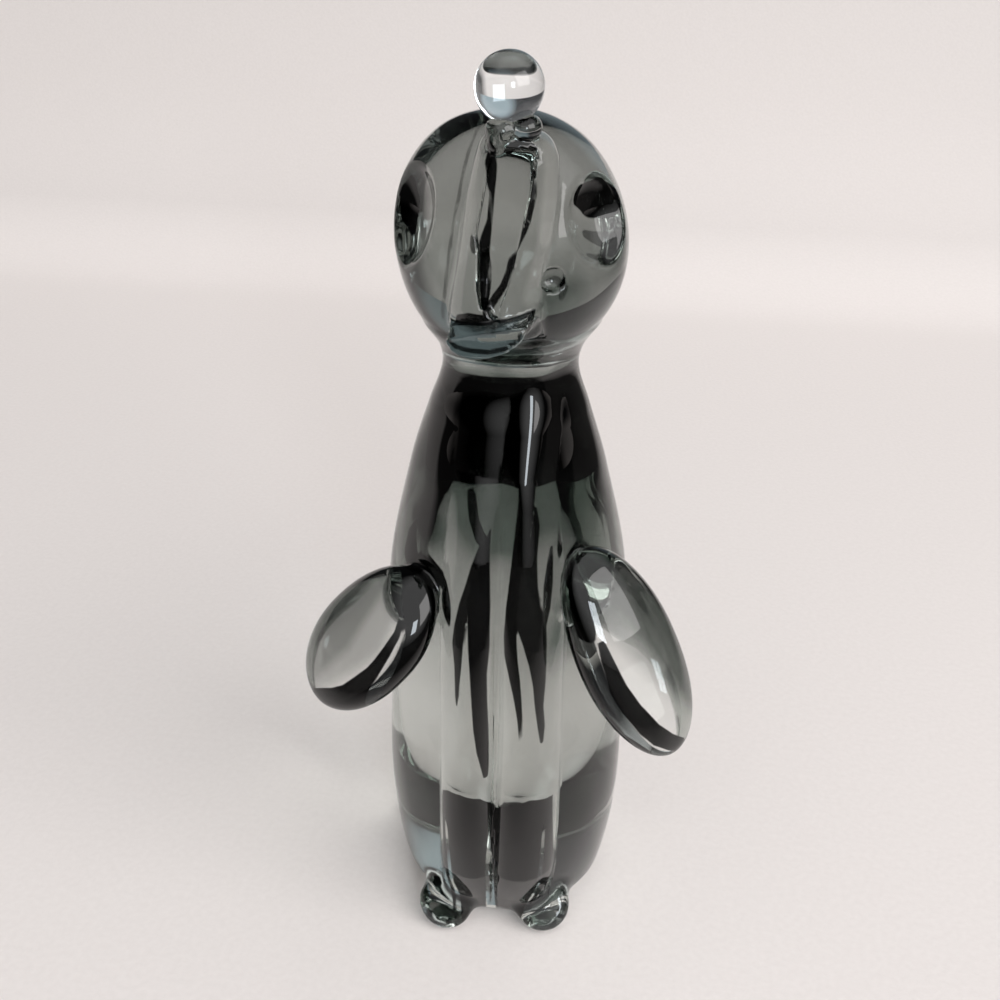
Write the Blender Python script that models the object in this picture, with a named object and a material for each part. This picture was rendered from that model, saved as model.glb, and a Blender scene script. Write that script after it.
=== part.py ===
"""A hot-worked glass seal that sits upright, with its flippers out and a clear ball on its nose.

Metres, +Z up. The seal faces -Y, and the origin is on the flat that it stands on, below the neck.
Every piece is one gather or one pulled bit of glass. On the real figurine they are fused, and here
each keeps FUSE_GAP to its neighbour.
"""

import math

import bmesh
import bpy
from mathutils import Vector

# Clearance between two pieces of glass that are fused on the real figurine.
FUSE_GAP = 0.0003

# Body: its half-widths, and how far each lies above the one before it.
BASE_RADIUS = 0.0190
HEEL_RISE = 0.0060
HEEL_RADIUS = 0.0226
BELLY_RISE = 0.0220
BELLY_RADIUS = 0.0248
WAIST_RISE = 0.0260
WAIST_RADIUS = 0.0238
SHOULDER_RISE = 0.0280
SHOULDER_RADIUS = 0.0229
CHEST_RISE = 0.0230
CHEST_RADIUS = 0.0181
THROAT_RISE = 0.0120
THROAT_RADIUS = 0.0144
NECK_RISE = 0.0077
NECK_RADIUS = 0.0120
# The body leans: its base is centred this far behind the neck.
BASE_SETBACK = 0.0050

# Back of the body: how far it lies behind the neck's axis, and how far each lies above the one
# before it. Above the base it flares to a short tail, and it is steepest between the shoulders.
TAIL_BACK = 0.0346
FLARE_RISE = 0.0110
FLARE_BACK = 0.0298
HAUNCH_RISE = 0.0080
HAUNCH_BACK = 0.0270
RUMP_RISE = 0.0260
RUMP_BACK = 0.0258
LOIN_RISE = 0.0300
LOIN_BACK = 0.0232
BLADES_RISE = 0.0250
BLADES_BACK = 0.0174
NAPE_RISE = 0.0160
NAPE_BACK = 0.0110
NECK_BACK = 0.0085

# Head: a ball of glass on a short flared neck, with a dish pressed into each side for an eye.
HEAD_RADIUS = 0.0197
HEAD_CROWN = 0.0213
NECK_FLARE_LENGTH = 0.0070
NECK_FLARE_RADIUS = 0.0142
EYE_RIM_RADIUS = 0.0068
EYE_DEPTH = 0.0042
EYE_TURN = math.radians(55)
EYE_LIFT = math.radians(20)

# Snout: sheared open, so that the upper jaw stands up and the lower one points forward.
MOUTH_DROP = 0.0040
SNOUT_WIDTH = 0.0155
SNOUT_DEPTH = 0.0120
SNOUT_PROTRUSION = 0.0034
NOSE_RISE = 0.0205
NOSE_WIDTH = 0.0106
NOSE_DEPTH = 0.0088
NOSE_REACH = 0.0212
MOUTH_WIDTH = 0.0064
MOUTH_CUT_DEPTH = 0.0030
MOUTH_MARGIN = 0.0023
# How late up the snout it narrows, how sudden its top rounds off, and what stays of it there.
NOSE_TAPER_POWER = 2.4
NOSE_DOME_POWER = 5
NOSE_TOP_SHARE = 0.12
LIP_REACH = 0.0285
LIP_WIDTH = 0.0116
LIP_THICKNESS = 0.0052
LIP_ROOT_THICKNESS = 0.0072
LIP_SIDE_SHIFT = -0.0012
LIP_BEVEL = 0.0004
LIP_END_SHARE = 0.86

# Ball and the small blob of glass that holds it on the nose.
BALL_RADIUS = 0.0050
BALL_SIDE_SHIFT = 0.0010
BALL_SETBACK = 0.0002
SEAT_WIDTH = 0.0090
SEAT_DEPTH = 0.0062
SEAT_HEIGHT = 0.0046
SEAT_LIFT = 0.0009
BALL_SINK = 0.0012

# Legs: two ridges down the front.
LEG_WIDTH = 0.0104
LEG_DEPTH = 0.0090
LEG_PROTRUSION = 0.0036
LEG_TOP_DROP = 0.0100
LEG_TAPER_LENGTH = 0.0440
LEG_TOP_SHARE = 0.34
# The legs end inside the feet, at this share of a foot's height.
LEG_END_SHARE = 0.7

# Feet: pulled stubs at the bottom of the legs.
FOOT_WIDTH = 0.0124
FOOT_LENGTH = 0.0130
FOOT_HEIGHT = 0.0088
LEFT_FOOT_PROTRUSION = 0.0081
RIGHT_FOOT_PROTRUSION = 0.0060
FOOT_SPREAD = 0.0205
FOOT_MIDDLE_SHARE = 0.45

# Flippers: leaf-shaped bits, stuck on beside the legs. Angles go round the body from its front.
FLIPPER_THICKNESS = 0.0120
FLIPPER_EDGE_POWER = 0.9
LEFT_WIDTH = 0.0212
LEFT_SWELL = 0.04
LEFT_ROOT_HEIGHT = 0.0892
LEFT_ROOT_ANGLE = math.radians(31.7)
LEFT_ROOT_STANDOFF = 0.0013
LEFT_REACH = Vector((-0.0210, -0.0050, -0.0242))
LEFT_FACING = Vector((-0.50, -0.74, 0.45))
RIGHT_WIDTH = 0.0206
RIGHT_SWELL = 0.01
RIGHT_ROOT_HEIGHT = 0.0967
RIGHT_ROOT_ANGLE = math.radians(-40.3)
RIGHT_ROOT_STANDOFF = 0.0024
RIGHT_REACH = Vector((0.0198, -0.0070, -0.0373))
RIGHT_FACING = Vector((0.62, -0.70, 0.40))

# Fineness of the meshes. The last ring of a round end stays POLE_OFFSET of a step short of the pole.
ROUND_SEGMENTS = 40
WIDE_SEGMENTS = 32
SMALL_SEGMENTS = 24
BODY_RINGS = 26
LONG_RINGS = 24
SMALL_RINGS = 12
POLE_OFFSET = 0.35
SHARP_ANGLE = math.radians(50)

SMOKE_COLOUR = (0.085, 0.105, 0.098, 1.0)
CLEAR_COLOUR = (0.90, 0.94, 0.95, 1.0)
GLASS_ROUGHNESS = 0.02
GLASS_IOR = 1.5


def stations(steps):
    """(height, size) of named sections, from their rises and sizes."""
    made = []
    height = 0.0
    for rise, size in steps:
        height += rise
        made.append((height, size))
    return made


SIDE_STATIONS = stations(
    (
        (0.0, BASE_RADIUS),
        (HEEL_RISE, HEEL_RADIUS),
        (BELLY_RISE, BELLY_RADIUS),
        (WAIST_RISE, WAIST_RADIUS),
        (SHOULDER_RISE, SHOULDER_RADIUS),
        (CHEST_RISE, CHEST_RADIUS),
        (THROAT_RISE, THROAT_RADIUS),
        (NECK_RISE, NECK_RADIUS),
    )
)
NECK_HEIGHT = SIDE_STATIONS[-1][0]
BACK_STATIONS = stations(
    (
        (0.0, TAIL_BACK),
        (FLARE_RISE, FLARE_BACK),
        (HAUNCH_RISE, HAUNCH_BACK),
        (RUMP_RISE, RUMP_BACK),
        (LOIN_RISE, LOIN_BACK),
        (BLADES_RISE, BLADES_BACK),
        (NAPE_RISE, NAPE_BACK),
    )
) + [(NECK_HEIGHT, NECK_BACK)]
HEAD_HEIGHT = NECK_HEIGHT + NECK_FLARE_LENGTH + math.sqrt(HEAD_RADIUS**2 - NECK_FLARE_RADIUS**2)
HEAD_CENTRE = Vector((0.0, 0.0, HEAD_HEIGHT))
MOUTH_HEIGHT = HEAD_HEIGHT - MOUTH_DROP
NOSE_HEIGHT = HEAD_HEIGHT + NOSE_RISE
SEAT_PLACE = Vector((BALL_SIDE_SHIFT, -NOSE_REACH + NOSE_DEPTH / 2, NOSE_HEIGHT + SEAT_LIFT))
BALL_PLACE = SEAT_PLACE + Vector((0.0, BALL_SETBACK, SEAT_HEIGHT / 2 + BALL_RADIUS - BALL_SINK))


def eased(share):
    """0 to 1 with a level start and end."""
    return share * share * (3.0 - 2.0 * share)


def on_curve(sections, height):
    """Size at a height, on a smooth curve through (height, size) sections."""
    slopes = []
    for index in range(len(sections)):
        low = sections[max(index - 1, 0)]
        high = sections[min(index + 1, len(sections) - 1)]
        slopes.append((high[1] - low[1]) / (high[0] - low[0]))
    height = min(max(height, sections[0][0]), sections[-1][0])
    index = 0
    while index < len(sections) - 2 and height > sections[index + 1][0]:
        index += 1
    (low_z, low_size), (high_z, high_size) = sections[index], sections[index + 1]
    step = high_z - low_z
    t = (height - low_z) / step
    return (
        (2 * t**3 - 3 * t**2 + 1) * low_size
        + (t**3 - 2 * t**2 + t) * step * slopes[index]
        + (-2 * t**3 + 3 * t**2) * high_size
        + (t**3 - t**2) * step * slopes[index + 1]
    )


def body_radius(height):
    """Half-width of the body at a height, which is also its depth in front of its axis."""
    return on_curve(SIDE_STATIONS, height)


def body_axis_y(height):
    """Where the leaning body's axis is at a height."""
    return BASE_SETBACK * (1.0 - height / NECK_HEIGHT)


def body_ring(height, grow):
    """The body's outline at a height: round in front, and as deep behind as its back lies."""
    centre = Vector((0.0, body_axis_y(height), height))
    radius = body_radius(height) + grow
    depth = on_curve(BACK_STATIONS, height) - centre.y + grow
    points = oval(centre, Vector((radius, 0, 0)), Vector((0, radius, 0)), ROUND_SEGMENTS)
    for point in points:
        if point.y > centre.y:
            point.y = centre.y + (point.y - centre.y) * depth / radius
    return points


def front_of_body(side, height):
    """Y of the body's front surface at a distance to the side."""
    radius = body_radius(height)
    return body_axis_y(height) - math.sqrt(max(radius**2 - side**2, 0.0))


def oval(centre, across, along, segments):
    """A ring of points round a centre, from the two half-axes of an oval."""
    points = []
    for index in range(segments):
        turn = 2.0 * math.pi * index / segments
        points.append(centre + across * math.cos(turn) + along * math.sin(turn))
    return points


def loft(name, rings, material=None):
    """One closed body through rings of equal length, with flat ends."""
    mesh_builder = bmesh.new()
    verts = [[mesh_builder.verts.new(point) for point in ring] for ring in rings]
    count = len(rings[0])
    for lower, upper in zip(verts, verts[1:]):
        for index in range(count):
            after = (index + 1) % count
            mesh_builder.faces.new((lower[index], lower[after], upper[after], upper[index]))
    mesh_builder.faces.new(list(reversed(verts[0])))
    mesh_builder.faces.new(verts[-1])
    bmesh.ops.recalc_face_normals(mesh_builder, faces=mesh_builder.faces)
    mesh = bpy.data.meshes.new(name)
    mesh_builder.to_mesh(mesh)
    mesh_builder.free()
    mesh.shade_smooth()
    mesh.set_sharp_from_angle(angle=SHARP_ANGLE)
    piece = bpy.data.objects.new(name, mesh)
    bpy.context.scene.collection.objects.link(piece)
    if material:
        mesh.materials.append(material)
    return piece


def rounded(name, centre, half_axes, segments, rings, material=None, floor=None):
    """A ball or an ellipsoid from its three half-axes; what would hang below floor is pressed flat."""
    side, depth, up = half_axes
    levels = []
    for index in range(rings + 1):
        angle = math.pi * (index + POLE_OFFSET) / (rings + 2.0 * POLE_OFFSET)
        middle = centre - up * math.cos(angle)
        levels.append(oval(middle, side * math.sin(angle), depth * math.sin(angle), segments))
    if floor is not None:
        levels = [[Vector((p.x, p.y, max(p.z, floor))) for p in ring] for ring in levels]
    return loft(name, levels, material)


def equal_axes(size):
    """The three half-axes of a ball."""
    return Vector((size, 0, 0)), Vector((0, size, 0)), Vector((0, 0, size))


def cut(piece, cutter):
    """Cuts the piece with a cutter, which stays hidden."""
    modifier = piece.modifiers.new(cutter.name, "BOOLEAN")
    modifier.operation = "DIFFERENCE"
    modifier.solver = "EXACT"
    modifier.object = cutter
    cutter.hide_render = True
    cutter.display_type = "WIRE"


def glass(piece_name, colour):
    """The glass of one piece."""
    material = bpy.data.materials.new(piece_name + "_glass")
    material.use_nodes = True
    shader = material.node_tree.nodes["Principled BSDF"]
    shader.inputs["Base Color"].default_value = colour
    shader.inputs["Roughness"].default_value = GLASS_ROUGHNESS
    shader.inputs["Metallic"].default_value = 0.0
    shader.inputs["IOR"].default_value = GLASS_IOR
    return material


def body_shape(name, grow=0.0, material=None):
    """The body, or with grow a clearance round it that also goes past its ends."""
    rings = []
    for index in range(BODY_RINGS + 1):
        height = NECK_HEIGHT * (1.0 - math.cos(math.pi * index / BODY_RINGS)) / 2.0
        rings.append(body_ring(height, grow))
    if grow:
        rings[0] = [point - Vector((0, 0, grow)) for point in rings[0]]
        rings[-1] = [point + Vector((0, 0, grow)) for point in rings[-1]]
    return loft(name, rings, material)


def head_shape(name, grow=0.0, material=None):
    """The ball of the head on its flared neck, or with grow a clearance round it."""
    base = Vector((0.0, 0.0, FUSE_GAP - grow))
    flare_angle = math.asin(NECK_FLARE_RADIUS / HEAD_RADIUS)
    rings = [[point + base for point in body_ring(NECK_HEIGHT, grow)]]
    for index in range(LONG_RINGS + 1):
        angle = flare_angle + (math.pi - flare_angle) * index / (LONG_RINGS + POLE_OFFSET)
        radius = (HEAD_RADIUS + grow) * math.sin(angle)
        rise = HEAD_RADIUS if angle < math.pi / 2.0 else HEAD_CROWN
        centre = HEAD_CENTRE - Vector((0.0, 0.0, (rise + grow) * math.cos(angle)))
        rings.append(oval(centre, Vector((radius, 0, 0)), Vector((0, radius, 0)), ROUND_SEGMENTS))
    return loft(name, rings, material)


def eye_cutter(side):
    """A ball that presses one eye's dish into the head. side is -1 on the left of the picture."""
    rim_distance = math.sqrt(HEAD_RADIUS**2 - EYE_RIM_RADIUS**2)
    sag = EYE_DEPTH - (HEAD_RADIUS - rim_distance)
    cutter_radius = (EYE_RIM_RADIUS**2 + sag**2) / (2.0 * sag)
    outward = Vector(
        (
            side * math.sin(EYE_TURN) * math.cos(EYE_LIFT),
            -math.cos(EYE_TURN) * math.cos(EYE_LIFT),
            math.sin(EYE_LIFT),
        )
    )
    centre = HEAD_CENTRE + outward * (HEAD_RADIUS - EYE_DEPTH + cutter_radius)
    name = "left_eye_cutter" if side < 0 else "right_eye_cutter"
    return rounded(name, centre, equal_axes(cutter_radius), ROUND_SEGMENTS, LONG_RINGS)


def upper_jaw_shape(name, grow=0.0, material=None):
    """The upright jaw, from the mouth's corner up to the nose."""
    bottom = MOUTH_HEIGHT + FUSE_GAP / 2.0 - grow
    top = NOSE_HEIGHT + grow
    rings = []
    for index in range(SMALL_RINGS + 1):
        share = index / SMALL_RINGS
        narrowing = share**NOSE_TAPER_POWER
        dome = math.sqrt(max(1.0 - share**NOSE_DOME_POWER, NOSE_TOP_SHARE))
        width = SNOUT_WIDTH + (NOSE_WIDTH - SNOUT_WIDTH) * narrowing
        depth = SNOUT_DEPTH + (NOSE_DEPTH - SNOUT_DEPTH) * narrowing
        front = HEAD_RADIUS + SNOUT_PROTRUSION
        front += (NOSE_REACH - front) * narrowing
        height = bottom + (top - bottom) * share
        centre = Vector((BALL_SIDE_SHIFT * share, depth / 2.0 - front, height))
        across = Vector((width * dome / 2.0 + grow, 0, 0))
        along = Vector((0, depth * dome / 2.0 + grow, 0))
        rings.append(oval(centre, across, along, WIDE_SEGMENTS))
    return loft(name, rings, material)


def mouth_cutter():
    """The channel that the shears leave down the front of the upper jaw."""
    low = Vector((0.0, -HEAD_RADIUS - SNOUT_PROTRUSION, MOUTH_HEIGHT + MOUTH_MARGIN))
    high = Vector((BALL_SIDE_SHIFT, -NOSE_REACH, NOSE_HEIGHT - MOUTH_MARGIN))
    side = Vector((MOUTH_WIDTH / 2.0, 0, 0))
    depth = Vector((0, MOUTH_CUT_DEPTH, 0))
    axes = (side, depth, (high - low) / 2.0)
    return rounded("mouth_cutter", (low + high) / 2.0, axes, SMALL_SEGMENTS, SMALL_RINGS)


def lower_jaw_shape(name, material=None):
    """The tongue-shaped lower jaw, with the blunt end that the shears leave."""
    rings = []
    root = HEAD_RADIUS - SNOUT_DEPTH / 2.0
    for index in range(SMALL_RINGS + 1):
        share = index / SMALL_RINGS
        width = SNOUT_WIDTH + (LIP_WIDTH - SNOUT_WIDTH) * eased(share)
        thickness = LIP_ROOT_THICKNESS + (LIP_THICKNESS - LIP_ROOT_THICKNESS) * share
        reach = root + (LIP_REACH - root) * share
        height = MOUTH_HEIGHT - FUSE_GAP / 2.0 - thickness / 2.0
        centre = Vector((LIP_SIDE_SHIFT * share, -reach, height))
        across = Vector((width / 2.0, 0, 0))
        up = Vector((0, 0, thickness / 2.0))
        rings.append(oval(centre, across, up, SMALL_SEGMENTS))
    end = centre - Vector((0, LIP_BEVEL, 0))
    rings.append(oval(end, across * LIP_END_SHARE, up * LIP_END_SHARE, SMALL_SEGMENTS))
    return loft(name, rings, material)


def leg_shape(name, side, grow=0.0, material=None):
    """One ridge down the front: it fades out under the neck and ends above its foot."""
    top = NECK_HEIGHT - LEG_TOP_DROP
    bottom = FOOT_HEIGHT * LEG_END_SHARE
    middle = side * (LEG_WIDTH + FUSE_GAP) / 2.0
    rings = []
    for index in range(LONG_RINGS + 1):
        share = index / LONG_RINGS
        height = bottom - grow + (top - bottom + 2.0 * grow) * share
        fade = eased(min((top + grow - height) / LEG_TAPER_LENGTH, 1.0))
        size = LEG_TOP_SHARE + (1.0 - LEG_TOP_SHARE) * fade
        front = front_of_body(abs(middle), height) - LEG_PROTRUSION * size
        centre = Vector((middle, front + LEG_DEPTH * size / 2.0, height))
        across = Vector((LEG_WIDTH * size / 2.0 + grow, 0, 0))
        along = Vector((0, LEG_DEPTH * size / 2.0 + grow, 0))
        rings.append(oval(centre, across, along, SMALL_SEGMENTS))
    return loft(name, rings, material)


def foot_shape(name, side, protrusion, grow=0.0, material=None):
    """A stub that sticks out below its leg and stands on the ground."""
    middle = side * FOOT_SPREAD / 2.0
    height = FOOT_HEIGHT * FOOT_MIDDLE_SHARE
    front = front_of_body(abs(middle), height) - protrusion
    centre = Vector((middle, front + FOOT_LENGTH / 2.0, height))
    axes = (
        Vector((FOOT_WIDTH / 2.0 + grow, 0, 0)),
        Vector((0, FOOT_LENGTH / 2.0 + grow, 0)),
        Vector((0, 0, FOOT_HEIGHT - height + grow)),
    )
    return rounded(name, centre, axes, SMALL_SEGMENTS, SMALL_RINGS, material, floor=-grow)


def flipper_root(height, angle, standoff):
    """A point near the body's surface, at an angle round the body from its front."""
    distance = body_radius(height) + standoff
    return Vector((-math.sin(angle) * distance, body_axis_y(height) - math.cos(angle) * distance, height))


def flipper_shape(name, root, reach, facing, width, swell, material):
    """A flat leaf from its root to its round tip, which swell makes wider than the root."""
    along = reach.normalized()
    face = (facing - along * facing.dot(along)).normalized()
    across = face.cross(along)
    rings = []
    for index in range(LONG_RINGS + 1):
        place = -math.cos(math.pi * (index + POLE_OFFSET) / (LONG_RINGS + 2.0 * POLE_OFFSET))
        round_off = math.sqrt(1.0 - place**2)
        half_width = width / 2.0 * round_off * (1.0 + swell * place)
        half_depth = FLIPPER_THICKNESS / 2.0 * round_off**FLIPPER_EDGE_POWER
        centre = root + reach * (place + 1.0) / 2.0
        rings.append(oval(centre, across * half_width, face * half_depth, WIDE_SEGMENTS))
    return loft(name, rings, material)


def clear_scene():
    for thing in list(bpy.data.objects):
        bpy.data.objects.remove(thing, do_unlink=True)


def build_head():
    """The head with its eyes. It returns the clearance round it."""
    head = head_shape("head", material=glass("head", SMOKE_COLOUR))
    cut(head, eye_cutter(-1))
    cut(head, eye_cutter(1))
    return head_shape("head_clearance", grow=FUSE_GAP)


def build_snout(head_clearance):
    """Both jaws, the ball, and the blob between the ball and the nose."""
    upper_jaw = upper_jaw_shape("upper_jaw", material=glass("upper_jaw", SMOKE_COLOUR))
    cut(upper_jaw, head_clearance)
    cut(upper_jaw, mouth_cutter())
    upper_jaw_clearance = upper_jaw_shape("upper_jaw_clearance", grow=FUSE_GAP)

    lower_jaw = lower_jaw_shape("lower_jaw", material=glass("lower_jaw", SMOKE_COLOUR))
    cut(lower_jaw, head_clearance)

    ball_glass = glass("ball", CLEAR_COLOUR)
    rounded("ball", BALL_PLACE, equal_axes(BALL_RADIUS), ROUND_SEGMENTS, LONG_RINGS, ball_glass)
    clearance_axes = equal_axes(BALL_RADIUS + FUSE_GAP)
    ball_clearance = rounded("ball_clearance", BALL_PLACE, clearance_axes, ROUND_SEGMENTS, LONG_RINGS)

    seat_axes = (
        Vector((SEAT_WIDTH / 2.0, 0, 0)),
        Vector((0, SEAT_DEPTH / 2.0, 0)),
        Vector((0, 0, SEAT_HEIGHT / 2.0)),
    )
    seat_glass = glass("nose_seat", SMOKE_COLOUR)
    seat = rounded("nose_seat", SEAT_PLACE, seat_axes, SMALL_SEGMENTS, SMALL_RINGS, seat_glass)
    for clearance in (ball_clearance, upper_jaw_clearance, head_clearance):
        cut(seat, clearance)


def build_legs(body_clearance):
    """Both legs. It returns the clearances round them."""
    clearances = []
    for side, name in ((-1, "left_leg"), (1, "right_leg")):
        leg = leg_shape(name, side, material=glass(name, SMOKE_COLOUR))
        cut(leg, body_clearance)
        clearances.append(leg_shape(name + "_clearance", side, grow=FUSE_GAP))
    return clearances


def build_feet(clearances):
    """Both feet, the right one cut clear of the left one."""
    left = foot_shape("left_foot", -1, LEFT_FOOT_PROTRUSION, material=glass("left_foot", SMOKE_COLOUR))
    right = foot_shape("right_foot", 1, RIGHT_FOOT_PROTRUSION, material=glass("right_foot", SMOKE_COLOUR))
    for clearance in clearances:
        cut(left, clearance)
        cut(right, clearance)
    cut(right, foot_shape("left_foot_clearance", -1, LEFT_FOOT_PROTRUSION, grow=FUSE_GAP))


def build_flippers(clearances):
    """Both flippers, each cut to fit the body and the legs."""
    left_root = flipper_root(LEFT_ROOT_HEIGHT, LEFT_ROOT_ANGLE, LEFT_ROOT_STANDOFF)
    right_root = flipper_root(RIGHT_ROOT_HEIGHT, RIGHT_ROOT_ANGLE, RIGHT_ROOT_STANDOFF)
    flippers = (
        ("left_flipper", left_root, LEFT_REACH, LEFT_FACING, LEFT_WIDTH, LEFT_SWELL),
        ("right_flipper", right_root, RIGHT_REACH, RIGHT_FACING, RIGHT_WIDTH, RIGHT_SWELL),
    )
    for name, root, reach, facing, width, swell in flippers:
        material = glass(name, SMOKE_COLOUR)
        flipper = flipper_shape(name, root, reach, facing, width, swell, material)
        for clearance in clearances:
            cut(flipper, clearance)


def build():
    clear_scene()
    body_shape("body", material=glass("body", SMOKE_COLOUR))
    body_clearance = body_shape("body_clearance", grow=FUSE_GAP)
    build_snout(build_head())
    clearances = [body_clearance] + build_legs(body_clearance)
    build_feet(clearances)
    build_flippers(clearances)


build()
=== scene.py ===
"""Looks of the glass seal: one fused skin of smoke glass with painted shade and painted light in its
tint, a clear ball, a pale sweep with painted shade, and soft light.

The fused glass is worked out as one smooth solid in millimetres, in the CAD's own frame, and
turned into a mesh here. Sizes come from the CAD's boxes where a node holds them.
"""

import math

import bpy
import numpy as np
from mathutils import Matrix, Vector


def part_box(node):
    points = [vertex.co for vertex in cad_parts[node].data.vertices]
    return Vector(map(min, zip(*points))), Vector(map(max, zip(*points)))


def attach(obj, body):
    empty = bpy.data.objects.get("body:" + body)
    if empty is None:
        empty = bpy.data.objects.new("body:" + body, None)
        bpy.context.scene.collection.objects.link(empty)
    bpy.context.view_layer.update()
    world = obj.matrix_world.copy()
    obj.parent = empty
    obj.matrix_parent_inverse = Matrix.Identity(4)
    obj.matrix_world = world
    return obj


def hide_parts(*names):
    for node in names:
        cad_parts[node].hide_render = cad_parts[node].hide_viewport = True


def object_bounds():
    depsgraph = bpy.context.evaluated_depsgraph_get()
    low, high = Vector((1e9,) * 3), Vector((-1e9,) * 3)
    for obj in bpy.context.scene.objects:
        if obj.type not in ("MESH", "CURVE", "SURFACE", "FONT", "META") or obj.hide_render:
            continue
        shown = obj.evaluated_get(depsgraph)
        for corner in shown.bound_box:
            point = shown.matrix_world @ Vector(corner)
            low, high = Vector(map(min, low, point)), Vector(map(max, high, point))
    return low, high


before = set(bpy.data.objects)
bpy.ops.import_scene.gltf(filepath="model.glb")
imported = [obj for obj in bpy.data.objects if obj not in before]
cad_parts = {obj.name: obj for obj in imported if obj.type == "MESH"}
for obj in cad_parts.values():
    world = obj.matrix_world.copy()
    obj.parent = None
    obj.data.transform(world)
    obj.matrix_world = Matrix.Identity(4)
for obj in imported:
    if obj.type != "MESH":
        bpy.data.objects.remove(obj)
cad_low, cad_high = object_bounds()

# All lengths in the shapes are in millimetres; the meshes, the sheet and the camera are in metres.
MM = 0.001
# Fineness of the glass skin's mesh, and the room round the glass on the grid that it is read from.
CELL = 0.64
MARGIN = 2.4
# Rounds of evening out the mesh, the share of each pull that is taken and the longest step.
ROUNDS = 3
PULL = 0.6
LONGEST_STEP = 0.3


def box_mm(node):
    low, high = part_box(node)
    return np.array(low) / MM, np.array(high) / MM


_, BODY_HIGH = box_mm("body")
HEAD_LOW, HEAD_HIGH = box_mm("head")
BALL_LOW, BALL_HIGH = box_mm("ball")

NECK_HEIGHT = BODY_HIGH[2]
# How far the base's middle lies behind the neck's, and where the body ends inside the head.
BASE_SETBACK = 5.0
BODY_TOP = 133.0
HEAD_RADIUS = (HEAD_HIGH[0] - HEAD_LOW[0]) / 2
HEAD_CROWN = 21.3
HEAD_CENTRE = np.array((0.0, 0.0, HEAD_HIGH[2] - HEAD_CROWN))
BALL_CENTRE = (BALL_LOW + BALL_HIGH) / 2
BALL_RADIUS = (BALL_HIGH[0] - BALL_LOW[0]) / 2

# (height, radius) of the body's sections, up to where it is inside the head.
BODY_SECTIONS = (
    (0.0, 19.0), (6.0, 22.6), (28.0, 24.8), (54.0, 23.8), (82.0, 22.9), (105.0, 18.1),
    (117.0, 14.4), (124.7, 12.0), (129.5, 12.9), (135.0, 16.0),
)


def smooth_table(sections, step=0.25):
    """Heights and radii of a smooth curve through the sections."""
    sections = np.array(sections)
    z, r = sections[:, 0], sections[:, 1]
    slope = np.empty(len(z))
    slope[1:-1] = (r[2:] - r[:-2]) / (z[2:] - z[:-2])
    slope[0] = (r[1] - r[0]) / (z[1] - z[0])
    slope[-1] = (r[-1] - r[-2]) / (z[-1] - z[-2])
    at = np.arange(z[0], z[-1] + step, step)
    i = np.clip(np.searchsorted(z, at) - 1, 0, len(z) - 2)
    h = z[i + 1] - z[i]
    t = (at - z[i]) / h
    value = (2 * t**3 - 3 * t**2 + 1) * r[i] + (t**3 - 2 * t**2 + t) * h * slope[i]
    value += (-2 * t**3 + 3 * t**2) * r[i + 1] + (t**3 - t**2) * h * slope[i + 1]
    return at, value


# (height, y) of the body's back in the middle plane, steep at the shoulders and flared at the base.
BACK_SECTIONS = (
    (0.0, 34.6), (3.0, 33.4), (7.0, 31.6), (11.0, 29.5), (15.0, 27.7), (19.0, 26.9), (26.0, 26.4),
    (45.0, 25.8), (60.0, 25.0), (75.0, 23.2), (85.0, 21.4), (93.0, 19.5), (100.0, 17.4),
    (108.0, 14.5), (116.0, 11.0), (121.0, 8.7), (125.0, 7.8), (129.0, 9.6), (135.0, 14.0),
)

BODY_Z, BODY_R = smooth_table(BODY_SECTIONS)
BODY_SLOPE = np.gradient(BODY_R, BODY_Z)
BACK_Z, BACK_Y = smooth_table(BACK_SECTIONS)


def blend_min(a, b, k):
    """Union of two solids with a fillet of about k."""
    h = np.maximum(k - np.abs(a - b), 0.0) / k
    return np.minimum(a, b) - h * h * k / 4


def blend_max(a, b, k):
    return -blend_min(-a, -b, k)


def cut_out(a, b, k):
    """Solid a with solid b taken out of it."""
    return blend_max(a, -b, k)


def ellipsoid(p, centre, half):
    q = p - np.asarray(centre, float)
    half = np.asarray(half, float)
    k0 = np.linalg.norm(q / half, axis=-1)
    k1 = np.linalg.norm(q / half**2, axis=-1)
    return k0 * (k0 - 1.0) / np.maximum(k1, 1e-9)


def sphere(p, centre, radius):
    return ellipsoid(p, centre, np.full(3, radius))


def oval_distance(x, y, a, b):
    """Distance to an oval in the plane; its half-axes may differ from point to point."""
    k0 = np.sqrt((x / a) ** 2 + (y / b) ** 2)
    k1 = np.sqrt((x / a**2) ** 2 + (y / b**2) ** 2)
    return k0 * (k0 - 1.0) / np.maximum(k1, 1e-9)


def capsule(p, a, b, ra, rb):
    """A rod with round ends, whose radius goes from ra to rb."""
    a, b = np.asarray(a, float), np.asarray(b, float)
    ab = b - a
    t = np.clip(((p - a) @ ab) / (ab @ ab), 0.0, 1.0)
    near = a + t[..., None] * ab
    return np.linalg.norm(p - near, axis=-1) - (ra + (rb - ra) * t)


def eased(t):
    t = np.clip(t, 0.0, 1.0)
    return t * t * (3 - 2 * t)


def along(z, table):
    """Value at a height or another place, from (place, value) pairs."""
    table = np.array(table)
    return np.interp(z, table[:, 0], table[:, 1])


def body_radius(z):
    return np.interp(z, BODY_Z, BODY_R)


def body_axis_y(z):
    return BASE_SETBACK * (1.0 - np.minimum(z, NECK_HEIGHT) / NECK_HEIGHT)


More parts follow.
